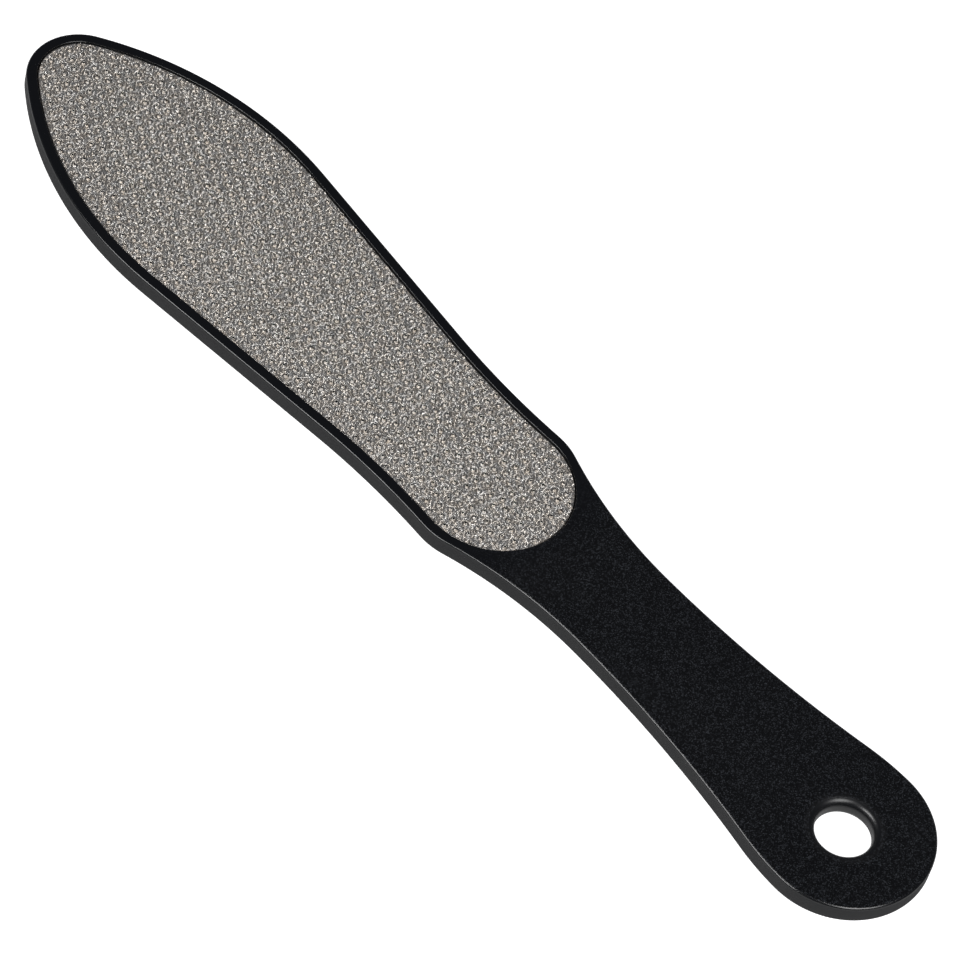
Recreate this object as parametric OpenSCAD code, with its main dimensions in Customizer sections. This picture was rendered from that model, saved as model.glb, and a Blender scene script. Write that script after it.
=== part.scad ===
// Foot file: a flat moulded paddle with a toothed metal plate bonded into a
// shallow pocket in its head, and a hanging hole through the end of its handle.
// It lies on its back, with Z up and its length along X, nose towards -X.
// The origin is on the underside, under the middle of its length.
// Every outline is a chain of arcs that meet without a corner. Places along
// the paddle are distances from the tip of its nose.

/* [Paddle head] */
// Overall length from the nose to the end of the handle
length = 250; // [235:1:270]
// Thickness of the paddle
thickness = 4.2; // [3.6:0.1:6]
// Radius of the nose
nose_r = 11.6; // [9:0.2:14]
// Distance from the nose to the widest part of the head
belly_x = 50; // [44:1:58]
// Width of the head at its widest part
belly_w = 48.2; // [44:0.2:54]
// Distance from the nose to the narrowest part of the head
waist_x = 123; // [114:1:128]
// Width of the narrowest part of the head
waist_w = 35.6; // [32:0.2:38]
// Radius of the hollow in the sides of the head
waist_r = 176; // [150:1:210]
// Radius of the shoulders between head and handle
shoulder_r = 15; // [10:0.5:18]
// Radius along the upper and lower edges of the paddle
edge_r = 0.5; // [0.3:0.1:0.8]

/* [Handle] */
// Distance from the nose to the neck of the handle
neck_x = 171; // [166:1:176]
// Width of the neck
neck_w = 24.4; // [22:0.2:27]
// Radius of the hollow between shoulder and neck
neck_r = 98; // [88:1:108]
// Radius of the round end of the handle
end_r = 17.7; // [16:0.1:20]
// Radius that eases the handle into its round end
hip_r = 58; // [40:1:80]

/* [Hanging hole] */
// Bore of the hanging hole
hole_d = 11.2; // [8:0.2:14]
// Distance from the middle of the hole to the end of the handle
hole_end = 17.7; // [15:0.1:24]
// Radius of the rounded mouth on each side of the hole
mouth_r = 1.6; // [1:0.1:1.7]

/* [Pocket] */
// Width of the rim round the pocket
rim_w = 2.2; // [1.6:0.1:3.5]
// Distance from the nose to the round end of the pocket
pocket_end_x = 150.8; // [146:0.2:156]
// How far the rim stands above the plate's sheet
recess = 0.4; // [0.2:0.05:0.8]
// Width of the small bevel along the inner edge of the rim
lip = 0.2; // [0.1:0.05:0.3]

/* [File plate] */
// Thickness of the sheet
sheet_t = 0.5; // [0.4:0.05:0.8]
// Gap all round between the sheet and the wall of the pocket
sheet_gap = 0.25; // [0.1:0.05:0.5]
// Distance between neighbouring teeth
tooth_pitch = 2.46; // [2.3:0.02:3.2]
// Height of a tooth above the sheet
tooth_h = 0.5; // [0.3:0.05:0.8]
// Diameter of a tooth at its foot
tooth_d = 0.9; // [0.7:0.05:1.2]
// Diameter of the cutting edge round the top of a tooth
tooth_edge_d = 0.5; // [0.4:0.05:0.6]
// Plain border of the sheet, outside the teeth
tooth_border = 0.35; // [0.2:0.05:1]

/* [Adhesive film] */
// Thickness of the double-sided film under the sheet
film_t = 0.15; // [0.1:0.05:0.3]
// How far the film stays back from the edge of the sheet
film_back = 0.5; // [0.2:0.1:1.5]

/* [Hidden] */

// Steps along an arc: one for each of these lengths of outline, and no
// fewer than one for each of these angles
arc_step = 4;
arc_angle = 9;
// Steps up the quarter round of an edge, and up the mouth of the hole
edge_steps = 4;
mouth_steps = 5;
bore_fn = 64;
tooth_fn = 16;
// How far a cutter runs past the face that it cuts
past = 1;

// Heights above the surface that the paddle lies on
sheet_top = thickness - recess;
sheet_bottom = sheet_top - sheet_t;
pocket_floor = sheet_bottom - film_t;

// Half widths, as the outline is worked out on one side of its axis
belly_h = belly_w / 2;
waist_h = waist_w / 2;
neck_h = neck_w / 2;

function direction(from, to) = atan2(to[1] - from[1], to[0] - from[0]);
function polar(r, a) = r * [cos(a), sin(a)];
function sq(v) = v * v;

// An arc is [middle, radius, first angle, last angle, side]. Side is 1 where
// the outline bulges and -1 where it is hollow.
nose_c = [nose_r, 0];
belly_r = (sq(belly_x - nose_r) + sq(belly_h) - sq(nose_r)) / (2 * (belly_h - nose_r));
belly_c = [belly_x, belly_h - belly_r];
waist_c = [waist_x, waist_h + waist_r];
neck_c = [neck_x, neck_h + neck_r];
end_c = [length - end_r, 0];
hip_c = [length - end_r, end_r - hip_r];
// The flare runs level out of the neck and meets the hip without a corner
flare_r = (sq(hip_c[0] - neck_x) + sq(end_r - neck_h)) / (2 * (end_r - neck_h)) - hip_r;
flare_c = [neck_x, neck_h + flare_r];
// The shoulder touches the hollows on both sides of it
hollow_gap = norm(neck_c - waist_c);
shoulder_along = (sq(waist_r + shoulder_r) - sq(neck_r + shoulder_r) + sq(hollow_gap)) / (2 * hollow_gap);
shoulder_across = sqrt(sq(waist_r + shoulder_r) - sq(shoulder_along));
hollow_line = direction(waist_c, neck_c);
shoulder_c = waist_c + polar(shoulder_along, hollow_line) + polar(shoulder_across, hollow_line - 90);

nose_to_belly = direction(belly_c, nose_c);
// A straight stretch joins the belly to the hollow of the waist
belly_to_waist = direction(belly_c, waist_c) + acos((belly_r + waist_r) / norm(waist_c - belly_c));
waist_to_shoulder = direction(shoulder_c, waist_c);
shoulder_to_neck = direction(shoulder_c, neck_c);
flare_to_hip = direction(hip_c, flare_c);

nose_arc = [nose_c, nose_r, 180, nose_to_belly, 1];
belly_arc = [belly_c, belly_r, nose_to_belly, belly_to_waist, 1];

paddle_arcs = [
    nose_arc,
    belly_arc,
    [waist_c, waist_r, belly_to_waist + 180, waist_to_shoulder + 180, -1],
    [shoulder_c, shoulder_r, waist_to_shoulder, shoulder_to_neck, 1],
    [neck_c, neck_r, shoulder_to_neck + 180, 270, -1],
    [flare_c, flare_r, 270, flare_to_hip + 180, -1],
    [hip_c, hip_r, flare_to_hip, 90, 1],
    [end_c, end_r, 90, 0, 1]
];

// The pocket follows the head, and closes with a round end of its own that
// touches the hollow of the waist. Its arcs are given before the rim's width
// is taken off them.
pocket_reach = pocket_end_x + rim_w - waist_x;
pocket_end_r = (sq(pocket_reach) + sq(waist_c[1]) - sq(waist_r)) / (2 * (pocket_reach + waist_r));
pocket_end_c = [pocket_end_x + rim_w - pocket_end_r, 0];
waist_to_pocket_end = direction(pocket_end_c, waist_c);

pocket_arcs = [
    nose_arc,
    belly_arc,
    [waist_c, waist_r, belly_to_waist + 180, waist_to_pocket_end + 180, -1],
    [pocket_end_c, pocket_end_r, waist_to_pocket_end, 0, 1]
];

function arc_steps(arc) =
    let (turn = abs(arc[3] - arc[2]))
    max(2, ceil(turn / arc_angle), ceil(turn * PI / 180 * arc[1] / arc_step));

// Points along one arc with the outline moved inwards by inset
function arc_points(arc, inset) =
    let (n = arc_steps(arc))
    [for (i = [0 : n]) arc[0] + polar(arc[1] - arc[4] * inset, arc[2] + (arc[3] - arc[2]) * i / n)];

// An arc's first point is left out where it is the last point of the arc
// before. The belly is followed by the straight stretch, so both ends stay.
function first_point(arcs, k) = k == 0 || arcs[k - 1] == belly_arc ? 0 : 1;

// The upper half of an outline, from the nose to its other end
function upper_side(arcs, inset) = [
    for (k = [0 : len(arcs) - 1])
        let (points = arc_points(arcs[k], inset))
        for (i = [first_point(arcs, k) : len(points) - 1]) points[i]
];

// The whole outline, anticlockwise, from its upper side and its mirror image
function outline(arcs, inset) =
    let (up = upper_side(arcs, inset), n = len(up))
    concat(
        [for (i = [0 : n - 1]) [up[i][0], -up[i][1]]],
        [for (i = [n - 2 : -1 : 1]) up[i]]
    );

// A solid with the outline of the arcs, drawn through levels of [inset, height]
module loft(arcs, levels) {
    rings = [for (level = levels) [for (p = outline(arcs, level[0])) [p[0], p[1], level[1]]]];
    n = len(rings[0]);
    last = (len(levels) - 1) * n;
    walls = [
        for (k = [0 : len(levels) - 2])
            for (i = [0 : n - 1])
                let (a = k * n + i, b = k * n + (i + 1) % n)
                [a, a + n, b + n, b]
    ];
    floor_face = [for (i = [0 : n - 1]) i];
    roof_face = [for (i = [n - 1 : -1 : 0]) last + i];
    translate([-length / 2, 0, 0])
        polyhedron([for (ring = rings) for (p = ring) p], concat(walls, [floor_face, roof_face]));
}

// Cutter for the hole: a bore whose mouths are rounded out to both faces
module hanging_hole() {
    r = hole_d / 2;
    // From the bore out to a face, as [radius, distance from the face]
    mouth = [
        for (i = [0 : mouth_steps])
            let (a = 90 * i / mouth_steps)
            [r + mouth_r * (1 - cos(a)), mouth_r * (1 - sin(a))]
    ];
    // The last step of the mouth runs on past the face, so that it cuts it cleanly
    beyond = 2 * mouth[mouth_steps] - mouth[mouth_steps - 1];
    half = concat(mouth, [beyond]);
    translate([length / 2 - hole_end, 0, 0])
        rotate_extrude($fn = bore_fn)
            polygon(concat(
                [[0, -past], [beyond[0], -past]],
                [for (i = [len(half) - 1 : -1 : 0]) half[i]],
                [for (p = half) [p[0], thickness - p[1]]],
                [[beyond[0], thickness + past], [0, thickness + past]]
            ));
}

// One moulding: slab with rounded edges, pocket for the plate, hanging hole
module paddle() {
    // From a flat face round to the side, as [inset, distance from the face]
    round = [
        for (i = [0 : edge_steps])
            let (a = 90 * i / edge_steps)
            [edge_r * (1 - sin(a)), edge_r * (1 - cos(a))]
    ];
    // The round starts beyond the flat faces, and the stock between them trims it
    beyond = 2 * round[0] - round[1];
    half = [for (i = [0 : edge_steps]) i == 0 ? beyond : round[i]];
    slab = concat(
        half,
        [for (i = [edge_steps : -1 : 0]) [half[i][0], thickness - half[i][1]]]
    );
    pocket = [
        [rim_w, pocket_floor],
        [rim_w, thickness - lip],
        [rim_w - lip - past, thickness + past]
    ];
    color("#1b1c1f")
        difference() {
            intersection() {
                loft(paddle_arcs, slab);
                translate([-length, -belly_w, 0]) cube([2 * length, 2 * belly_w, thickness]);
            }
            loft(pocket_arcs, pocket);
            hanging_hole();
        }
}

module adhesive_film() {
    back = rim_w + sheet_gap + film_back;
    color("#d9d4c4")
        translate([-length / 2, 0, pocket_floor])
            linear_extrude(film_t)
                polygon(outline(pocket_arcs, back));
}

// Middles of the teeth: rows across the sheet, each staggered by half a pitch
// from the next, as far as whole teeth fit inside the border
row_step = tooth_pitch * sqrt(3) / 2;
tooth_room = upper_side(pocket_arcs, rim_w + sheet_gap + tooth_border + tooth_d / 2);
first_x = tooth_room[0][0];
last_x = tooth_room[len(tooth_room) - 1][0];
last_row = floor((last_x - first_x) / row_step - 0.5);
most_out = ceil(belly_h / tooth_pitch);
tooth_places = [
    for (i = [0 : last_row])
        for (j = [-most_out : most_out])
            let (x = first_x + (i + 0.5) * row_step, y = (j + (i % 2) / 2) * tooth_pitch)
            if (abs(y) < lookup(x, tooth_room)) [x, y]
];

module file_plate() {
    color("#8f8b85")
        translate([-length / 2, 0, sheet_bottom])
            union() {
                linear_extrude(sheet_t)
                    polygon(outline(pocket_arcs, rim_w + sheet_gap));
                for (place = tooth_places)
                    translate([place[0], place[1], sheet_t])
                        cylinder(h = tooth_h, d1 = tooth_d, d2 = tooth_edge_d, $fn = tooth_fn);
            }
}

paddle();
adhesive_film();
file_plate();
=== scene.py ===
"""Looks of a foot file: a black moulded paddle with a toothed steel plate let into its head.

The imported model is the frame. The paddle and the plate are made again here with
smoother edges and finer teeth, from the same sizes; the film under the plate keeps
its own solid. Sizes are in millimetres until a mesh is made, and places along the
paddle are distances from the tip of its nose.
"""

import logging
import math
from dataclasses import dataclass, field
from enum import Enum, IntEnum

import bpy
import numpy as np
from mathutils import Matrix, Vector
from mathutils.geometry import tessellate_polygon
from mathutils.kdtree import KDTree


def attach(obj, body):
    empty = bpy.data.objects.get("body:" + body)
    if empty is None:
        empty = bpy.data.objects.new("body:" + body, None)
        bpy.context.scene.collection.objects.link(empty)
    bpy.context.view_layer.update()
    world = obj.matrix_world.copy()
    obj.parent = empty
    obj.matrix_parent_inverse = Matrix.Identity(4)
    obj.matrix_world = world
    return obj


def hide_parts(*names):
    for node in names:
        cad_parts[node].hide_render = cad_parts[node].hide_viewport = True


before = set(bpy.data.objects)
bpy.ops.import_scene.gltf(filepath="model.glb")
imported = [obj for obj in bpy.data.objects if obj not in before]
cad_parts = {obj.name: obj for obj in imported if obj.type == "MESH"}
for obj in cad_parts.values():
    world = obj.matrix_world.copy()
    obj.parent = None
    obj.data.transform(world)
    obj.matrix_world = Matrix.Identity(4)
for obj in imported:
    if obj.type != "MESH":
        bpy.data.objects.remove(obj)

LOG = logging.getLogger("foot_file")
MM = 0.001
# Nearly all values of a noise texture lie between these
NOISE_LOW, NOISE_HIGH = 0.3, 0.7


def linear(hex_colour: str) -> tuple[float, float, float, float]:
    """Turn an sRGB hex colour into linear RGBA.

    Args:
        hex_colour: The colour as "#rrggbb".

    Returns:
        Linear red, green, blue and an alpha of 1.
    """
    parts = [int(hex_colour[i:i + 2], 16) / 255 for i in (1, 3, 5)]
    # The two branches of the sRGB standard
    red, green, blue = (c / 12.92 if c <= 0.04045 else ((c + 0.055) / 1.055) ** 2.4
                        for c in parts)
    return red, green, blue, 1.0


def per_metre(size_mm: float) -> float:
    """Scale of a procedural pattern whose features are this many millimetres apart."""
    return 1 / (size_mm * MM)


def add_node(tree: bpy.types.NodeTree, kind: str,
             inputs: dict[str | int, object] | None = None,
             **settings: object) -> bpy.types.Node:
    """Add a shader node, set its options and feed its inputs.

    Args:
        tree: The material's node tree.
        kind: The node's type name.
        inputs: Input name or number to a value, or to a socket that is linked in.
        **settings: The node's own options.

    Returns:
        The new node.
    """
    node = tree.nodes.new(kind)
    for name, value in settings.items():
        setattr(node, name, value)
    for name, value in (inputs or {}).items():
        if isinstance(value, bpy.types.NodeSocket):
            tree.links.new(value, node.inputs[name])
        else:
            node.inputs[name].default_value = value
    return node


def new_material(name: str) -> tuple[bpy.types.Material, bpy.types.NodeTree, bpy.types.Node]:
    """Make an empty node material.

    Args:
        name: The material's name.

    Returns:
        The material, its node tree and its output node.
    """
    material = bpy.data.materials.new(name)
    material.use_nodes = True
    tree = material.node_tree
    tree.nodes.clear()
    return material, tree, tree.nodes.new("ShaderNodeOutputMaterial")


class Mixed(IntEnum):
    """Socket numbers of the colour side of a Mix node."""

    FIRST = 6
    SECOND = 7
    RESULT = 2


class Slot(Enum):
    """Material slot names for the paddle and the plate; nothing in this script uses them."""

    PADDLE = "paddle_plastic"
    PLATE = "plate_metal"


@dataclass(frozen=True)
class SparkErodedAbs:
    """Black ABS, injection moulded in a tool with a spark-eroded finish.

    To the eye it is a near-black with a faint blue cast: satin on the rim, duller on
    the walls, and finely grained on the handle. There the pits' colour is painted
    shade, and many pits hold a painted glint.
    """

    colour: str = "#07080b"
    # The pits' colour is painted shade, and many of them hold a painted glint
    painted_pit_shade: str = "#020203"
    painted_glint: str = "#2e3034"
    ior: float = 1.54
    roughness_smooth: float = 0.2
    roughness_grained: float = 0.26
    roughness_wall: float = 0.7
    roughness_hole: float = 0.34
    # Pits of a mid spark-eroded finish are about a fifth of a millimetre apart
    grain_mm: float = 0.2
    grain_depth_mm: float = 0.02
    # A pit's random value from 0 to 1 at which its painted glint starts, and at which it is full
    painted_glint_from: float = 0.6
    painted_glint_full: float = 0.9
    # Moulding leaves a slow unevenness some centimetres long
    flow_mm: float = 22.0
    flow_roughness: float = 0.03
    # The grain sets in past the round end of the pocket, as measured from mid-length
    grain_from_mm: float = 17.0
    grain_full_mm: float = 30.0
    # It lies on the flat faces: full down to the first depth, and gone at the second
    face_full_mm: float = 0.01
    face_end_mm: float = 0.05
    # The rounded edges keep the smooth finish, this far from the flat faces
    edge_mm: float = 0.3
    # Outside the mouth of the hole, the walls' finish takes over within this distance
    hole_fade_mm: float = 1.0

    def material(self, thickness_mm: float, hole_x_mm: float,
                 mouth_mm: float) -> bpy.types.Material:
        """Build the material.

        Args:
            thickness_mm: The moulding's thickness.
            hole_x_mm: Where the middle of the hanging hole is along X.
            mouth_mm: Radius that the rounded mouth of the hole reaches out to.

        Returns:
            The material.
        """
        made, tree, out = new_material("spark_eroded_abs")
        place = add_node(tree, "ShaderNodeTexCoord").outputs["Object"]
        axes = add_node(tree, "ShaderNodeSeparateXYZ", {"Vector": place}).outputs
        half = thickness_mm / 2 * MM
        # From the middle of the wall (0) to either flat face (half the thickness)
        offset = add_node(tree, "ShaderNodeMath", {
            0: axes["Z"], 1: half,
        }, operation="SUBTRACT").outputs[0]
        level = add_node(tree, "ShaderNodeMath", {0: offset}, operation="ABSOLUTE").outputs[0]
        on_face = add_node(tree, "ShaderNodeMapRange", {
            "Value": level,
            "From Min": half - self.face_end_mm * MM, "From Max": half - self.face_full_mm * MM,
        }).outputs["Result"]
        on_handle = add_node(tree, "ShaderNodeMapRange", {
            "Value": axes["X"],
            "From Min": self.grain_from_mm * MM, "From Max": self.grain_full_mm * MM,
        }).outputs["Result"]
        grained = add_node(tree, "ShaderNodeMath", {
            0: on_face, 1: on_handle,
        }, operation="MULTIPLY").outputs[0]
        pits = add_node(tree, "ShaderNodeTexVoronoi", {
            "Vector": place, "Scale": per_metre(self.grain_mm),
        }).outputs
        # Painted light in the grain: pits past the first value take a painted glint, and the rest
        # keep the painted shade
        painted_glint_share = add_node(tree, "ShaderNodeMapRange", {
            "Value": pits["Color"], "From Min": self.painted_glint_from, "From Max": self.painted_glint_full,
        }).outputs["Result"]
        painted_shade_and_glints = add_node(tree, "ShaderNodeMix", {
            "Factor": painted_glint_share, Mixed.FIRST: linear(self.painted_pit_shade), Mixed.SECOND: linear(self.painted_glint),
        }, data_type="RGBA").outputs[Mixed.RESULT]
        colour = add_node(tree, "ShaderNodeMix", {
            "Factor": grained, Mixed.FIRST: linear(self.colour), Mixed.SECOND: painted_shade_and_glints,
        }, data_type="RGBA").outputs[Mixed.RESULT]
        gloss = add_node(tree, "ShaderNodeMapRange", {
            "Value": grained, "To Min": self.roughness_smooth, "To Max": self.roughness_grained,
        }).outputs["Result"]
        on_walls = add_node(tree, "ShaderNodeMapRange", {
            "Value": level,
            "From Min": half - 2 * self.edge_mm * MM, "From Max": half - self.edge_mm * MM,
            "To Min": self.roughness_wall - self.roughness_smooth, "To Max": 0.0,
        }).outputs["Result"]
        # The pin that forms the hole is finer than the walls
        plan = add_node(tree, "ShaderNodeVectorMath", {
            0: place, 1: (1, 1, 0),
        }, operation="MULTIPLY").outputs["Vector"]
        away = add_node(tree, "ShaderNodeVectorMath", {
            0: plan, 1: (hole_x_mm * MM, 0, 0),
        }, operation="DISTANCE").outputs["Value"]
        outside = add_node(tree, "ShaderNodeMapRange", {
            "Value": away,
            "From Min": mouth_mm * MM, "From Max": (mouth_mm + self.hole_fade_mm) * MM,
        }).outputs["Result"]
        duller = add_node(tree, "ShaderNodeMix", {
            "Factor": outside, "A": self.roughness_hole - self.roughness_smooth, "B": on_walls,
        }).outputs["Result"]
        flow = add_node(tree, "ShaderNodeTexNoise", {
            "Vector": place, "Scale": per_metre(self.flow_mm), "Detail": 2.0,
        }).outputs["Fac"]
        uneven = add_node(tree, "ShaderNodeMapRange", {
            "Value": flow, "From Min": NOISE_LOW, "From Max": NOISE_HIGH,
            "To Min": -self.flow_roughness, "To Max": self.flow_roughness,
        }).outputs["Result"]
        walled = add_node(tree, "ShaderNodeMath", {
            0: gloss, 1: duller,
        }, operation="ADD").outputs[0]
        roughness = add_node(tree, "ShaderNodeMath", {
            0: walled, 1: uneven,
        }, operation="ADD").outputs[0]
        height = add_node(tree, "ShaderNodeMath", {
            0: pits["Distance"], 1: grained,
        }, operation="MULTIPLY").outputs[0]
        # The distance to a pit's middle is at most about a half, so the depth is doubled
        bump = add_node(tree, "ShaderNodeBump", {
            "Height": height, "Strength": 1.0, "Distance": 2 * self.grain_depth_mm * MM,
        })
        shader = add_node(tree, "ShaderNodeBsdfPrincipled", {
            "Base Color": colour, "Roughness": roughness, "IOR": self.ior,
            "Normal": bump.outputs["Normal"],
        })
        tree.links.new(shader.outputs["BSDF"], out.inputs["Surface"])
        return made


@dataclass(frozen=True)
class FormedStainless:
    """Stainless steel sheet, its teeth formed by a press and then deburred in a tumbler.

    To the eye it is a warm mid grey that glitters: bright on the rims of the teeth,
    dark in their craters, between the nubs and in the dished rings round them, where
    the colour holds painted shade, with specks of warmer and cooler light.
    """

    warm: str = "#f2e9de"
    cool: str = "#efece8"
    # Painted shade, mixed in at the craters, the valleys between the nubs and the dished rings
    painted_shade_colour: str = "#45423f"
    roughness_low: float = 0.33
    roughness_high: float = 0.43
    # Tumbling marks, drawn as coarse as the teeth's nubs so that they show
    marks_mm: float = 0.32
    marks_depth_mm: float = 0.04
    # Patches of either tint are half a tooth's pitch across, with a narrow change between
    tint_mm: float = 1.3
    tint_from: float = 0.4
    tint_full: float = 0.6

    def material(self) -> bpy.types.Material:
        """Build the material.

        Returns:
            The material.
        """
        made, tree, out = new_material("formed_stainless")
        place = add_node(tree, "ShaderNodeTexCoord").outputs["Object"]
        marks = add_node(tree, "ShaderNodeTexNoise", {
            "Vector": place, "Scale": per_metre(self.marks_mm), "Detail": 2.0,
        }).outputs["Fac"]
        patches = add_node(tree, "ShaderNodeTexNoise", {
            "Vector": place, "Scale": per_metre(self.tint_mm), "Detail": 2.0,
        }).outputs["Fac"]
        tint = add_node(tree, "ShaderNodeMapRange", {
            "Value": patches, "From Min": self.tint_from, "From Max": self.tint_full,
        }).outputs["Result"]
        steel = add_node(tree, "ShaderNodeMix", {
            "Factor": tint, Mixed.FIRST: linear(self.warm), Mixed.SECOND: linear(self.cool),
        }, data_type="RGBA").outputs[Mixed.RESULT]
        # The mesh says how much painted shade each point gets, so the steel turns dark where
        # shade falls
        painted_shade = add_node(tree, "ShaderNodeAttribute", attribute_name="painted_shade").outputs["Fac"]
        colour = add_node(tree, "ShaderNodeMix", {
            "Factor": painted_shade, Mixed.FIRST: steel, Mixed.SECOND: linear(self.painted_shade_colour),
        }, data_type="RGBA").outputs[Mixed.RESULT]
        roughness = add_node(tree, "ShaderNodeMapRange", {
            "Value": marks, "From Min": NOISE_LOW, "From Max": NOISE_HIGH,
            "To Min": self.roughness_low, "To Max": self.roughness_high,
        }).outputs["Result"]
        # The noise fills about half of its range, so the depth is doubled
        bump = add_node(tree, "ShaderNodeBump", {
            "Height": marks, "Strength": 1.0, "Distance": 2 * self.marks_depth_mm * MM,
        })
        shader = add_node(tree, "ShaderNodeBsdfPrincipled", {
            "Base Color": colour, "Metallic": 1.0, "Roughness": roughness,
            "Normal": bump.outputs["Normal"],
        })
        tree.links.new(shader.outputs["BSDF"], out.inputs["Surface"])
        return made


@dataclass(frozen=True)
class AcrylicFilm:
    """Double-sided acrylic adhesive film, die cut from a roll.

    To the eye it is dull straw-white and slightly fibrous, where the plate shows it.
    """

    colour: str = "#d9d4c4"
    fibre: str = "#c2bba6"
    ior: float = 1.49
    roughness: float = 0.6
    fibre_mm: float = 0.5

    def material(self) -> bpy.types.Material:
        """Build the material.

        Returns:
            The material.
        """
        made, tree, out = new_material("acrylic_film")
        place = add_node(tree, "ShaderNodeTexCoord").outputs["Object"]
        fibres = add_node(tree, "ShaderNodeTexNoise", {
            "Vector": place, "Scale": per_metre(self.fibre_mm), "Detail": 3.0,
        }).outputs["Fac"]
        colour = add_node(tree, "ShaderNodeMix", {
            "Factor": fibres, Mixed.FIRST: linear(self.colour), Mixed.SECOND: linear(self.fibre),
        }, data_type="RGBA").outputs[Mixed.RESULT]
        shader = add_node(tree, "ShaderNodeBsdfPrincipled", {
            "Base Color": colour, "Roughness": self.roughness, "IOR": self.ior,
        })
        tree.links.new(shader.outputs["BSDF"], out.inputs["Surface"])
        return made


@dataclass(frozen=True)
class StudioPaper:
    """Seamless white photographic paper, matt and even.

    To the eye it is plain white with only a faint shadow where the object lies.
    """

    colour: str = "#dcdcdc"
    # How much it glows for the camera, and in reflections
    glow: float = 0.88
    glow_reflected: float = 0.08
    # The tooth of the paper is far finer, and is drawn coarse and very weak
    tooth_mm: float = 3.0
    tooth_strength: float = 0.02

    def material(self) -> bpy.types.Material:
        """Build the material, which glows where it is seen or reflected, and keeps shadows.

        Returns:
            The material.
        """
        made, tree, out = new_material("studio_paper")
        place = add_node(tree, "ShaderNodeTexCoord").outputs["Object"]
        tooth = add_node(tree, "ShaderNodeTexNoise", {
            "Vector": place, "Scale": per_metre(self.tooth_mm),
        }).outputs["Fac"]
        bump = add_node(tree, "ShaderNodeBump", {
            "Height": tooth, "Strength": self.tooth_strength,
        })
        paper = add_node(tree, "ShaderNodeBsdfDiffuse", {
            "Color": linear(self.colour), "Normal": bump.outputs["Normal"],
        })
        rays = add_node(tree, "ShaderNodeLightPath").outputs
        bounced = add_node(tree, "ShaderNodeMath", {
            0: rays["Is Glossy Ray"], 1: rays["Is Transmission Ray"],
        }, operation="MAXIMUM").outputs[0]
        reflected = add_node(tree, "ShaderNodeMath", {
            0: bounced, 1: self.glow_reflected,
        }, operation="MULTIPLY").outputs[0]
        strength = add_node(tree, "ShaderNodeMath", {
            0: rays["Is Camera Ray"], 1: self.glow, 2: reflected,
        }, operation="MULTIPLY_ADD").outputs[0]
        light = add_node(tree, "ShaderNodeEmission", {"Strength": strength})
        both = add_node(tree, "ShaderNodeAddShader", {
            0: paper.outputs["BSDF"], 1: light.outputs["Emission"],
        })
        tree.links.new(both.outputs["Shader"], out.inputs["Surface"])
        return made


@dataclass(frozen=True)
class Arc:
    """One arc of an outline, on the upper side of the paddle's axis."""

    middle: tuple[float, float]
    radius: float
    first: float
    last: float
    # 1 where the outline bulges and -1 where it is hollow
    side: int = 1

    def points(self, inset: float, step: float, turn: float) -> np.ndarray:
        """Points along the arc with the outline moved inwards.

        Args:
            inset: How far the outline is moved inwards.
            step: Longest step along the arc.
            turn: Largest angle of a step, in degrees.

        Returns:
            The points, one a row. Their number doesn't depend on the inset.
        """
        sweep = abs(self.last - self.first)
        way = math.radians(sweep) * self.radius
        steps = max(2, math.ceil(sweep / turn), math.ceil(way / step))
        angles = np.radians(np.linspace(self.first, self.last, steps + 1))
        reach = self.radius - self.side * inset
        return np.array(self.middle) + reach * np.c_[np.cos(angles), np.sin(angles)]


def heading(start: tuple[float, float], end: tuple[float, float]) -> float:
    """Direction from one point to another, in degrees."""
    return math.degrees(math.atan2(end[1] - start[1], end[0] - start[0]))


def polar(radius: float, angle: float) -> np.ndarray:
    """A step of that length in that direction, in degrees."""
    return radius * np.array([math.cos(math.radians(angle)), math.sin(math.radians(angle))])


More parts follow.
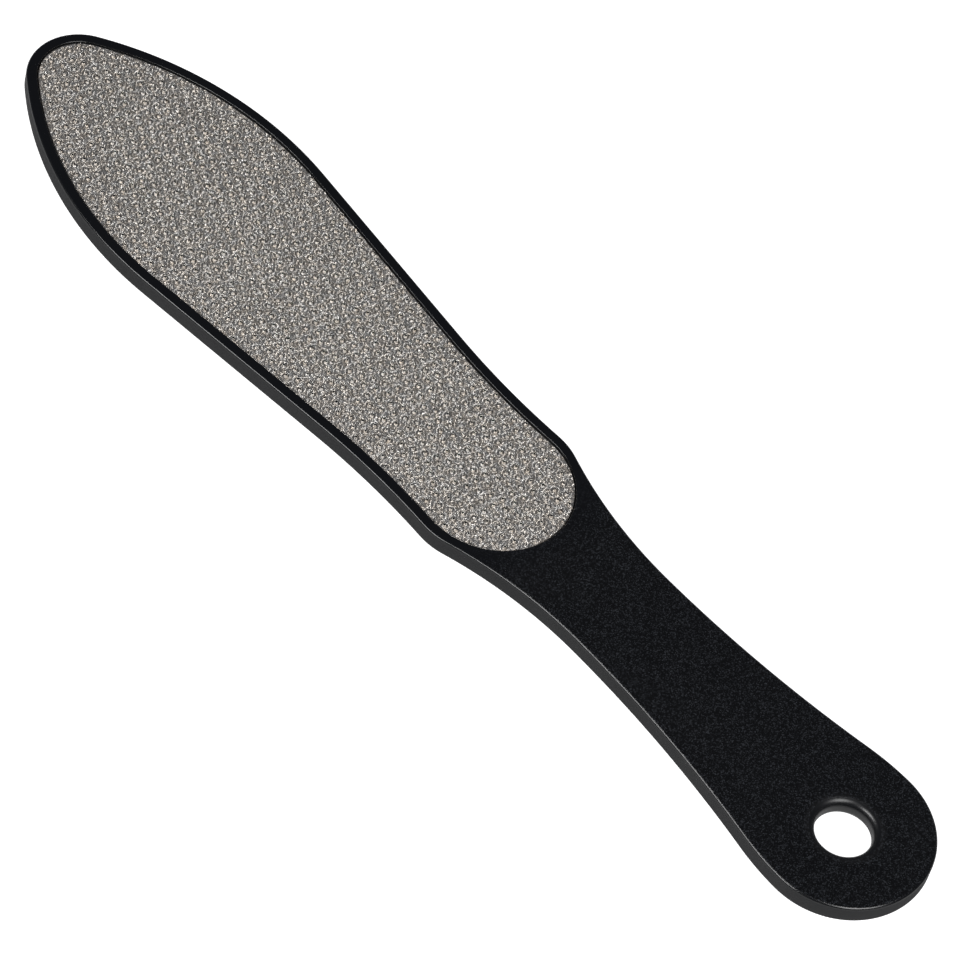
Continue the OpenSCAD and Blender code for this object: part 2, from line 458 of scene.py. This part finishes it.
@dataclass
class Outline:
    """The paddle's plan: chains of arcs that meet without a corner."""

    length: float = 250.0
    nose_r: float = 11.6
    belly_x: float = 50.0
    belly_w: float = 48.2
    waist_x: float = 123.0
    waist_w: float = 35.6
    waist_r: float = 176.0
    shoulder_r: float = 15.0
    neck_x: float = 171.0
    neck_w: float = 24.4
    neck_r: float = 98.0
    end_r: float = 17.7
    hip_r: float = 58.0
    rim_w: float = 2.2
    pocket_end_x: float = 150.8
    # Longest step along an arc, and its largest angle in degrees
    step: float = 1.0
    turn: float = 3.0
    # The waist's place in either chain
    waist_arc: int = 2
    paddle: list[Arc] = field(init=False)
    pocket: list[Arc] = field(init=False)

    def __post_init__(self) -> None:
        """Work the arcs out from the sizes."""
        belly_h, waist_h, neck_h = self.belly_w / 2, self.waist_w / 2, self.neck_w / 2
        nose_c = (self.nose_r, 0.0)
        belly_r = ((self.belly_x - self.nose_r) ** 2 + belly_h ** 2 - self.nose_r ** 2) \
            / (2 * (belly_h - self.nose_r))
        belly_c = (self.belly_x, belly_h - belly_r)
        waist_c = (self.waist_x, waist_h + self.waist_r)
        neck_c = (self.neck_x, neck_h + self.neck_r)
        end_c = (self.length - self.end_r, 0.0)
        hip_c = (self.length - self.end_r, self.end_r - self.hip_r)
        flare_r = ((hip_c[0] - self.neck_x) ** 2 + (self.end_r - neck_h) ** 2) \
            / (2 * (self.end_r - neck_h)) - self.hip_r
        flare_c = (self.neck_x, neck_h + flare_r)
        gap = math.dist(neck_c, waist_c)
        to_waist, to_neck = self.waist_r + self.shoulder_r, self.neck_r + self.shoulder_r
        along = (to_waist ** 2 - to_neck ** 2 + gap ** 2) / (2 * gap)
        across = math.sqrt(to_waist ** 2 - along ** 2)
        line = heading(waist_c, neck_c)
        shoulder_c = tuple(np.array(waist_c) + polar(along, line) + polar(across, line - 90))
        nose_to_belly = heading(belly_c, nose_c)
        belly_to_waist = heading(belly_c, waist_c) \
            + math.degrees(math.acos((belly_r + self.waist_r) / math.dist(waist_c, belly_c)))
        waist_to_shoulder = heading(shoulder_c, waist_c)
        shoulder_to_neck = heading(shoulder_c, neck_c)
        flare_to_hip = heading(hip_c, flare_c)
        head = [Arc(nose_c, self.nose_r, 180, nose_to_belly),
                Arc(belly_c, belly_r, nose_to_belly, belly_to_waist)]
        self.paddle = head + [
            Arc(waist_c, self.waist_r, belly_to_waist + 180, waist_to_shoulder + 180, -1),
            Arc(shoulder_c, self.shoulder_r, waist_to_shoulder, shoulder_to_neck),
            Arc(neck_c, self.neck_r, shoulder_to_neck + 180, 270, -1),
            Arc(flare_c, flare_r, 270, flare_to_hip + 180, -1),
            Arc(hip_c, self.hip_r, flare_to_hip, 90),
            Arc(end_c, self.end_r, 90, 0),
        ]
        reach = self.pocket_end_x + self.rim_w - self.waist_x
        end_r = (reach ** 2 + waist_c[1] ** 2 - self.waist_r ** 2) / (2 * (reach + self.waist_r))
        pocket_c = (self.pocket_end_x + self.rim_w - end_r, 0.0)
        waist_to_end = heading(pocket_c, waist_c)
        self.pocket = head + [
            Arc(waist_c, self.waist_r, belly_to_waist + 180, waist_to_end + 180, -1),
            Arc(pocket_c, end_r, waist_to_end, 0),
        ]

    def upper(self, arcs: list[Arc], inset: float, step: float | None = None) -> np.ndarray:
        """The upper half of an outline, from the nose to its other end.

        Args:
            arcs: The chain of arcs.
            inset: How far the outline is moved inwards.
            step: Longest step, where it isn't the outline's own.

        Returns:
            The points, one a row, with the same count for every inset.
        """
        step = step or self.step
        points = []
        for number, arc in enumerate(arcs):
            own = arc.points(inset, step, self.turn)
            # A straight stretch joins the belly to the hollow of the waist
            if number == self.waist_arc:
                leaves = arcs[number - 1].points(0, step, self.turn)[-1]
                arrives = arc.points(0, step, self.turn)[0]
                straight = math.ceil(math.dist(leaves, arrives) / step)
                share = np.arange(1, straight)[:, None] / straight
                first, last = points[-1][-1], own[0]
                points.append(first + (last - first) * share)
                points.append(own)
            else:
                points.append(own if number == 0 else own[1:])
        return np.vstack(points)

    def loop(self, arcs: list[Arc], inset: float, step: float | None = None) -> np.ndarray:
        """A whole outline, anticlockwise from the tip of the nose, centred on the length.

        Args:
            arcs: The chain of arcs.
            inset: How far the outline is moved inwards.
            step: Longest step, where it isn't the outline's own.

        Returns:
            The points, one a row.
        """
        up = self.upper(arcs, inset, step)
        whole = np.vstack([up * [1, -1], up[-2:0:-1]])
        return whole - [self.length / 2, 0]


class Skin:
    """Gathers the rings and faces of one mesh, in millimetres."""

    def __init__(self) -> None:
        """Start with nothing."""
        self.points: list[np.ndarray] = []
        self.faces: list[tuple[int, ...]] = []
        self.count = 0

    def ring(self, plan: np.ndarray, height: float) -> np.ndarray:
        """Add a closed ring of points.

        Args:
            plan: The ring's points in plan, one a row.
            height: Its height.

        Returns:
            The numbers of its points.
        """
        self.points.append(np.c_[plan, np.full(len(plan), height)])
        numbers = np.arange(self.count, self.count + len(plan))
        self.count += len(plan)
        return numbers

    def wall(self, lower: np.ndarray, upper: np.ndarray) -> None:
        """Join two rings by faces that look out to the right of the way they run.

        Args:
            lower: Numbers of the first ring's points.
            upper: Numbers of the second ring's points.
        """
        after, above = np.roll(lower, -1), np.roll(upper, -1)
        self.faces += list(zip(lower.tolist(), after.tolist(), above.tolist(), upper.tolist()))

    def walls(self, rings: list[np.ndarray]) -> None:
        """Join rings one after the other."""
        for lower, upper in zip(rings, rings[1:]):
            self.wall(lower, upper)

    def face(self, rings: list[np.ndarray], looks_up: bool) -> None:
        """Fill a flat face that has one ring outside and any others as holes.

        Args:
            rings: Numbers of the points of each ring, the outer one first.
            looks_up: True where the face looks up, False where it looks down.
        """
        placed = np.vstack(self.points)
        numbers = np.concatenate(rings)
        found = tessellate_polygon([[Vector(placed[i]) for i in ring] for ring in rings])
        for corners in found:
            a, b, c = (placed[numbers[i]][:2] for i in corners)
            turn = (b[0] - a[0]) * (c[1] - a[1]) - (b[1] - a[1]) * (c[0] - a[0])
            ordered = corners if (turn > 0) == looks_up else corners[::-1]
            self.faces.append(tuple(int(numbers[i]) for i in ordered))

    def piece(self, name: str) -> bpy.types.Object:
        """Make a smooth-shaded object of what was gathered.

        Args:
            name: The object's name.

        Returns:
            The object, linked into the scene.
        """
        mesh = bpy.data.meshes.new(name)
        mesh.from_pydata((np.vstack(self.points) * MM).tolist(), [], self.faces)
        mesh.validate()
        mesh.shade_smooth()
        made = bpy.data.objects.new(name, mesh)
        bpy.context.scene.collection.objects.link(made)
        return made


def settle(piece: bpy.types.Object, node: str, material: bpy.types.Material) -> None:
    """Give a piece its material and its place in the frame.

    Args:
        piece: The new piece.
        node: The CAD node that it stands for.
        material: Its material.
    """
    piece.data.materials.append(material)
    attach(piece, "root")
    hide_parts(node)


@dataclass
class Paddle:
    """Head, handle, rim, pocket and hanging hole in one moulding."""

    outline: Outline
    thickness: float = 4.2
    edge_r: float = 0.5
    hole_d: float = 11.2
    hole_end: float = 17.7
    mouth_r: float = 1.6
    lip_r: float = 0.2
    pocket_floor: float = 3.15
    fillet_r: float = 0.1
    # A narrow flat band beside each round keeps the flat faces flat to the eye
    band: float = 0.12
    round_steps: int = 8
    hole_steps: int = 128

    def quarter(self) -> np.ndarray:
        """Angles from a flat face (0) round to a wall (a quarter turn)."""
        return np.linspace(0, math.pi / 2, self.round_steps + 1)

    def edge_rings(self, skin: Skin) -> list[np.ndarray]:
        """Add the rings round the outside, from the back up to the face.

        Args:
            skin: The mesh to add to.

        Returns:
            The rings, from the one that bounds the back to the one that bounds the face.
        """
        levels = [(self.edge_r + self.band, 0.0)]
        levels += [(self.edge_r * (1 - math.sin(a)), self.edge_r * (1 - math.cos(a)))
                   for a in self.quarter()]
        levels += [(inset, self.thickness - height) for inset, height in reversed(levels)]
        return [skin.ring(self.outline.loop(self.outline.paddle, inset), height)
                for inset, height in levels]

    def pocket_rings(self, skin: Skin) -> list[np.ndarray]:
        """Add the rings of the pocket, from its floor up to the face.

        Args:
            skin: The mesh to add to.

        Returns:
            The rings, from the floor to the face.
        """
        rim = self.outline.rim_w
        levels = [(rim + self.fillet_r, self.pocket_floor),
                  (rim, self.pocket_floor + self.fillet_r)]
        levels += [(rim - self.lip_r * (1 - math.cos(a)),
                    self.thickness - self.lip_r * (1 - math.sin(a))) for a in self.quarter()]
        levels.append((rim - self.lip_r - self.band, self.thickness))
        return [skin.ring(self.outline.loop(self.outline.pocket, inset), height)
                for inset, height in levels]

    def hole_x(self) -> float:
        """Where the middle of the hanging hole is along X."""
        return self.outline.length / 2 - self.hole_end

    def hole_rings(self, skin: Skin) -> list[np.ndarray]:
        """Add the rings of the hanging hole, from the back up to the face.

        Args:
            skin: The mesh to add to.

        Returns:
            The rings, from the back to the face.
        """
        bore = self.hole_d / 2
        middle = np.array([self.hole_x(), 0])
        mouth = [(bore + self.mouth_r + self.band, 0.0)]
        mouth += [(bore + self.mouth_r * (1 - math.sin(a)), self.mouth_r * (1 - math.cos(a)))
                  for a in self.quarter()]
        levels = mouth + [(radius, self.thickness - height) for radius, height in reversed(mouth)]
        angles = np.linspace(0, 2 * math.pi, self.hole_steps, endpoint=False)
        circle = np.c_[np.cos(angles), np.sin(angles)]
        return [skin.ring(middle + radius * circle, height) for radius, height in levels]

    def build(self, finish: SparkErodedAbs) -> bpy.types.Object:
        """Make the paddle.

        Args:
            finish: What it is moulded in.

        Returns:
            The piece.
        """
        skin = Skin()
        edge = self.edge_rings(skin)
        pocket = self.pocket_rings(skin)
        hole = self.hole_rings(skin)
        skin.walls(edge)
        # The walls of the pocket and the hole look inwards
        skin.walls(pocket[::-1])
        skin.walls(hole[::-1])
        skin.face([edge[0], hole[0]], looks_up=False)
        skin.face([edge[-1], pocket[-1], hole[-1]], looks_up=True)
        skin.face([pocket[0]], looks_up=True)
        piece = skin.piece("paddle_moulding")
        mouth = self.hole_d / 2 + self.mouth_r
        material = finish.material(self.thickness, self.hole_x(), mouth)
        settle(piece, "paddle", material)
        return piece


@dataclass
class FilePlate:
    """One metal sheet with rows of cratered teeth, each in a ring of small nubs."""

    outline: Outline
    sheet_top: float = 3.8
    sheet_t: float = 0.5
    sheet_gap: float = 0.25
    corner_r: float = 0.06
    tooth_pitch: float = 2.46
    tooth_h: float = 0.5
    tooth_d: float = 0.9
    tooth_edge_d: float = 0.5
    tooth_border: float = 0.35
    nub_count: int = 16
    nub_h: float = 0.3
    # The middle one of these points is the top of the nub
    points_per_nub: int = 3
    # Tumbling leaves the nubs between these shares of their height, and the teeth too
    nub_share: tuple[float, float] = (0.8, 1.15)
    tooth_share: tuple[float, float] = (0.88, 1.0)
    # It also moves each point a little
    dent_mm: float = 0.035
    seed: int = 7
    # The pattern fades out over this distance from the sheet's edge
    fade: float = 0.12
    # The edge is followed in finer steps where it cuts through teeth
    cut_step: float = 0.12
    # Rows before the first whole one, which the edge may cut through
    cut_rows: int = 2
    # Points that agree to this many decimals of a millimetre are one point
    decimals: int = 4
    strips: int = 5

    def profile(self) -> tuple[list[tuple[float, ...]], list[tuple[float, ...]]]:
        """Section of a tooth and of the nubs round it.

        Returns:
            The tooth's rings from its middle outwards, as (radius, height, painted shade),
            and the nubs' rings, as (radius, height of the valleys, height of the nubs,
            painted shade of the valleys, painted shade of the nubs). Heights are from the sheet.
        """
        lip, foot, top = self.tooth_edge_d / 2, self.tooth_d / 2, self.nub_h
        # The last number of each ring is its painted shade: full in the crater, strong between
        # the nubs, and partial in the dished ring and at the tooth's foot
        tooth = [
            # The crater, from its floor up to its rim
            (0.0, -0.25, 1),
            (0.72 * lip, 0.0, 1),
            (0.92 * lip, 0.32, 0.9),
            (1.1 * lip, self.tooth_h, 0),
            # The flank
            (1.26 * lip, 0.42, 0),
            (0.76 * foot, 0.15, 0.1),
            (0.88 * foot, 0.0, 0.5),
            # The dished ring round the foot
            (0.54, -0.05, 0.6),
            (0.68, -0.01, 0.1),
        ]
        nubs = [
            # The nubs, from their inner foot over their tops to the outer one
            (0.77, -0.04, -0.02, 0.3, 0.2),
            (0.87, -0.07, 0.9 * top, 0.7, 0),
            (0.97, -0.07, top, 0.7, 0),
            (1.06, -0.05, 0.0, 0.3, 0.2),
            # Low swellings out to the border
            (1.15, -0.06, 0.4 * top, 0.4, 0),
        ]
        return tooth, nubs

    def cell(self) -> tuple[np.ndarray, np.ndarray, np.ndarray]:
        """One tooth with its nubs, out to the border that it shares with its neighbours.

        Returns:
            The points, each as a place and an amount of painted shade, the triangles between
            them, and for each point the number of the nub that it belongs to, from 1 on, or 0
            on the tooth and -1 on the border.
        """
        tooth, nubs = self.profile()
        around = self.nub_count
        fine = around * self.points_per_nub
        coarse_turn = 2 * math.pi * np.arange(around) / around
        fine_turn = 2 * math.pi * np.arange(fine) / fine
        _, floor, floor_painted_shade = tooth[0]
        points = [np.array([[0.0, 0.0, floor, floor_painted_shade]])]
        for radius, height, painted_shade in tooth[1:]:
            points.append(np.c_[radius * np.cos(coarse_turn), radius * np.sin(coarse_turn),
                                np.full(around, height), np.full(around, painted_shade)])
        part = [np.zeros(1 + around * len(tooth[1:]), dtype=int)]
        peak = np.arange(fine) % self.points_per_nub == self.points_per_nub // 2
        for radius, low, high, low_painted_shade, high_painted_shade in nubs:
            points.append(np.c_[radius * np.cos(fine_turn), radius * np.sin(fine_turn),
                                np.where(peak, high, low), np.where(peak, high_painted_shade, low_painted_shade)])
            part.append(1 + np.arange(fine) // self.points_per_nub)
        part.append(np.full(fine, -1))
        # The border is the hexagon halfway to the six neighbours
        sixth = math.pi / 3
        reach = self.tooth_pitch / 2 / np.cos(np.mod(fine_turn, sixth) - sixth / 2)
        points.append(np.c_[reach * np.cos(fine_turn), reach * np.sin(fine_turn),
                            np.zeros((fine, 2))])
        faces = [(0, 1 + i, 1 + (i + 1) % around) for i in range(around)]

        def join(inner: int, outer: int, size: int) -> None:
            """Join two rings that have the same number of points.

            Args:
                inner: Number of the inner ring's first point.
                outer: Number of the outer ring's first point.
                size: How many points each has.
            """
            for i in range(size):
                after = (i + 1) % size
                faces.append((inner + i, outer + i, outer + after))
                faces.append((inner + i, outer + after, inner + after))

        last = 1
        for _ in tooth[2:]:
            join(last, last + around, around)
            last += around
        # A fan from each point of the tooth's last ring to the nub outside it
        first_fine = last + around
        each = self.points_per_nub
        for i in range(around):
            for k in range(i * each, (i + 1) * each):
                faces.append((last + i, first_fine + k, first_fine + (k + 1) % fine))
            beyond = first_fine + (i + 1) * each % fine
            faces.append((last + i, beyond, last + (i + 1) % around))
        for _ in nubs:
            join(first_fine, first_fine + fine, fine)
            first_fine += fine
        return np.vstack(points), np.array(faces), np.concatenate(part)

    def edge(self, inset: float, step: float | None = None) -> np.ndarray:
        """The sheet's outline, moved inwards from its own edge."""
        inset += self.outline.rim_w + self.sheet_gap
        return self.outline.loop(self.outline.pocket, inset, step)

    def middles(self) -> np.ndarray:
        """Middles of all teeth in and round the sheet.

        Returns:
            The middles, one a row.
        """
        row_step = self.tooth_pitch * math.sqrt(3) / 2
        clear = self.outline.rim_w + self.sheet_gap + self.tooth_border + self.tooth_d / 2
        first_x = clear - self.outline.length / 2
        rows = math.ceil(self.outline.pocket_end_x / row_step) + 1
        most = math.ceil(self.outline.belly_w / self.tooth_pitch)
        return np.array([
            (first_x + (i + 0.5) * row_step, (j + (i % 2) / 2) * self.tooth_pitch)
            for i in range(-self.cut_rows, rows) for j in range(-most, most + 1)
        ])

    def top(self) -> tuple[np.ndarray, np.ndarray]:
        """The whole upper face, cut off at the sheet's edge.

        Returns:
            The points, each as a place and an amount of painted shade, and the triangles between
            them.
            Neighbouring teeth share the points of their border.
        """
        border = self.edge(self.corner_r, self.cut_step)
        ahead = np.roll(border, -1, axis=0) - np.roll(border, 1, axis=0)
        outwards = np.c_[ahead[:, 1], -ahead[:, 0]] / np.linalg.norm(ahead, axis=1)[:, None]
        tree = KDTree(len(border))
        for number, (x, y) in enumerate(border):
            tree.insert((x, y, 0), number)
        tree.balance()

        def past_edge(places: np.ndarray) -> tuple[np.ndarray, np.ndarray]:
            """Measure places against the sheet's edge.

            Args:
                places: The places, one a row.

            Returns:
                How far each lies past the edge, negative inside, and its nearest edge point.
            """
            nearest = np.array([tree.find((x, y, 0))[1] for x, y in places])
            gap = places - border[nearest]
            return np.einsum("ij,ij->i", gap, outwards[nearest]), nearest

        points, faces, part = self.cell()
        corner = self.tooth_pitch / math.sqrt(3)
        rng = np.random.default_rng(self.seed)
        all_points, all_faces, base = [], [], 0
        middles = self.middles()
        far, _ = past_edge(middles)
        for middle, past in zip(middles, far):
            if past > corner:
                continue
            # The last share is the border's, which keeps its height
            shares = np.r_[rng.uniform(*self.tooth_share),
                           rng.uniform(*self.nub_share, self.nub_count), 1]
            own, used = points + [*middle, 0, 0], faces
            own[:, 2] *= shares[part]
            # How much of the relief and the dents each point keeps
            free = np.ones(len(own))
            if past > -corner - self.fade:
                # What lies past the edge is left out, or drawn back onto it
                beyond, nearest = past_edge(own[:, :2])
                out = beyond > 0
                used = faces[~out[faces].all(axis=1)]
                own[out, :2] = border[nearest[out]]
                free = np.clip(-beyond / self.fade, 0, 1)
                own[:, 2] *= free
            all_points.append(np.c_[own, free])
            all_faces.append(used + base)
            base += len(own)
        whole, faces = np.vstack(all_points), np.vstack(all_faces)
        _, kept, number = np.unique(np.round(whole[:, :3], self.decimals), axis=0,
                                    return_index=True, return_inverse=True)
        points, free, faces = whole[kept, :4], whole[kept, 4:], number.reshape(-1)[faces]
        points[:, :3] += free * rng.normal(0, self.dent_mm, (len(points), 3))
        points[:, 2] = np.minimum(points[:, 2], self.tooth_h)
        # Faces that collapse onto the edge, or fall on another there, are left out
        ordered = np.sort(faces, axis=1)
        _, first = np.unique(ordered, axis=0, return_index=True)
        once = np.zeros(len(faces), dtype=bool)
        once[first] = True
        real = once & (ordered[:, 0] != ordered[:, 1]) & (ordered[:, 1] != ordered[:, 2])
        return points, faces[real]

    def sheet(self) -> bpy.types.Object:
        """Make the sheet's back and edges, which its toothed face closes.

        Returns:
            The piece.
        """
        skin = Skin()
        under = self.sheet_top - self.sheet_t
        levels = [(self.corner_r, under), (0.0, under + self.corner_r),
                  (0.0, self.sheet_top - self.corner_r), (self.corner_r, self.sheet_top)]
        rings = [skin.ring(self.edge(inset), height) for inset, height in levels]
        skin.walls(rings)
        skin.face([rings[0]], looks_up=False)
        return skin.piece("file_plate_sheet")

    def teeth(self) -> list[bpy.types.Object]:
        """Make the toothed face, in strips across the sheet with about as many faces each.

        Returns:
            The pieces.
        """
        points, faces = self.top()
        points = points + [0, 0, self.sheet_top, 0]
        across = points[faces, 0].mean(axis=1)
        limits = np.quantile(across, np.linspace(0, 1, self.strips + 1))
        strip_of = np.clip(np.searchsorted(limits, across, side="right") - 1, 0, self.strips - 1)
        pieces = []
        for strip in range(self.strips):
            own = faces[strip_of == strip]
            used, local = np.unique(own, return_inverse=True)
            mesh = bpy.data.meshes.new(f"file_plate_teeth_{strip + 1}")
            mesh.from_pydata((points[used, :3] * MM).tolist(), [], local.reshape(-1, 3).tolist())
            mesh.shade_smooth()
            # Each point's painted shade, which darkens the steel's colour in the recesses
            painted_shade = mesh.attributes.new("painted_shade", "FLOAT", "POINT")
            painted_shade.data.foreach_set("value", points[used, 3])
            made = bpy.data.objects.new(mesh.name, mesh)
            bpy.context.scene.collection.objects.link(made)
            pieces.append(made)
        return pieces

    def build(self, finish: FormedStainless) -> list[bpy.types.Object]:
        """Make the plate.

        Args:
            finish: What it is pressed from.

        Returns:
            The pieces.
        """
        pieces = [self.sheet(), *self.teeth()]
        material = finish.material()
        for piece in pieces:
            settle(piece, "file_plate", material)
        return pieces


@dataclass
class AdhesiveFilm:
    """The film between plate and pocket, which keeps its own solid."""

    node: str = "adhesive_film"

    def dress(self, finish: AcrylicFilm) -> bpy.types.Object:
        """Give the film's solid its material.

        Args:
            finish: What it is made of.

        Returns:
            The piece.
        """
        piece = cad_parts[self.node]
        piece.data.materials.clear()
        piece.data.materials.append(finish.material())
        return piece


@dataclass(frozen=True)
class SoftBox:
    """A soft box that faces the object, in metres and watts."""

    name: str
    place: tuple[float, float, float]
    width: float
    height: float
    power: float

    def hang(self) -> None:
        """Hang it in its place."""
        data = bpy.data.lights.new(self.name, "AREA")
        data.shape = "RECTANGLE"
        data.size = self.width
        data.size_y = self.height
        data.energy = self.power
        light = bpy.data.objects.new(self.name, data)
        light.location = self.place
        light.rotation_mode = "QUATERNION"
        light.rotation_quaternion = (-Vector(self.place)).to_track_quat("-Z", "Y")
        bpy.context.scene.collection.objects.link(light)


@dataclass
class Studio:
    """White paper, two soft boxes and the camera."""

    # The paper is flat out to this radius and then sweeps up, in metres
    paper_r: float = 3.2
    sweep_r: float = 0.36
    sweep_h: float = 0.9
    paper_points: int = 96
    sweep_points: int = 12
    # It lies this far below the object, in millimetres, so that no faces coincide
    below_mm: float = 0.05
    key_box: SoftBox = SoftBox("key_box", (-0.36, -1.05, 1.0), 1.0, 0.35, 14.5)
    fill_box: SoftBox = SoftBox("fill_box", (1.03, -0.2, 1.35), 0.9, 0.9, 17.0)
    world_colour: str = "#505257"
    world_strength: float = 1.0
    # The camera, in millimetres and degrees, as worked out from the photograph
    lens: float = 199.8
    sensor: float = 36.0
    camera_at: tuple[float, float, float] = (363.81, -515.33, 815.76)
    camera_to: tuple[float, float, float] = (6.73, -0.63, 2.1)
    camera_roll: float = -15.853
    # What it sees, in metres from it
    nearest: float = 0.05
    farthest: float = 20.0

    def floor(self, paper: StudioPaper) -> None:
        """Lay the paper: flat under the object, and swept up far round it.

        Args:
            paper: What it is.
        """
        angles = np.linspace(0, 2 * math.pi, self.paper_points, endpoint=False)
        circle = np.c_[np.cos(angles), np.sin(angles)]
        flat_r, turn_r, low = self.paper_r / MM, self.sweep_r / MM, -self.below_mm
        levels = [(flat_r, low)]
        for i in range(1, self.sweep_points + 1):
            a = math.pi / 2 * i / self.sweep_points
            levels.append((flat_r + turn_r * math.sin(a), low + turn_r * (1 - math.cos(a))))
        levels.append((flat_r + turn_r, self.sweep_h / MM))
        skin = Skin()
        rings = [skin.ring(circle * radius, height) for radius, height in levels]
        # The paper's upper side faces the object
        skin.walls(rings[::-1])
        skin.face([rings[0]], looks_up=True)
        piece = skin.piece("studio_paper")
        piece.data.materials.append(paper.material())

    def lights(self) -> None:
        """Hang the lights and set the dim room round them."""
        self.key_box.hang()
        self.fill_box.hang()
        world = bpy.data.worlds.new("dim_room")
        world.use_nodes = True
        tree = world.node_tree
        tree.nodes.clear()
        room = add_node(tree, "ShaderNodeBackground", {
            "Color": linear(self.world_colour), "Strength": self.world_strength,
        })
        out = tree.nodes.new("ShaderNodeOutputWorld")
        tree.links.new(room.outputs["Background"], out.inputs["Surface"])
        bpy.context.scene.world = world

    def camera(self) -> None:
        """Set the camera at the photograph's viewing angle."""
        data = bpy.data.cameras.new("camera")
        data.lens = self.lens
        data.sensor_width = self.sensor
        data.clip_start = self.nearest
        data.clip_end = self.farthest
        place = Vector(self.camera_at) * MM
        target = Vector(self.camera_to) * MM
        ahead = (target - place).normalized()
        level = ahead.cross(Vector((0, 0, 1))).normalized()
        roll = math.radians(self.camera_roll)
        up = level.cross(ahead) * math.cos(roll) + level * math.sin(roll)
        right = ahead.cross(up)
        turn = Matrix((right, up, -ahead)).transposed()
        camera = bpy.data.objects.new("camera", data)
        camera.matrix_world = Matrix.Translation(place) @ turn.to_4x4()
        bpy.context.scene.collection.objects.link(camera)
        bpy.context.scene.camera = camera

    def build(self, paper: StudioPaper) -> None:
        """Set the studio up.

        Args:
            paper: What the floor is.
        """
        self.floor(paper)
        self.lights()
        self.camera()
        bpy.context.scene.view_settings.view_transform = "Standard"


def main() -> None:
    """Make every piece of the foot file and the studio round it."""
    logging.basicConfig(level=logging.INFO, format="%(name)s: %(message)s")
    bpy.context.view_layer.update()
    outline = Outline()
    pieces = [Paddle(outline).build(SparkErodedAbs())]
    pieces += FilePlate(outline).build(FormedStainless())
    pieces.append(AdhesiveFilm().dress(AcrylicFilm()))
    Studio().build(StudioPaper())
    for piece in pieces:
        LOG.info("%s: %d faces, %s", piece.name, len(piece.data.polygons),
                 piece.data.materials[0].name)


if __name__ == "__main__":
    main()
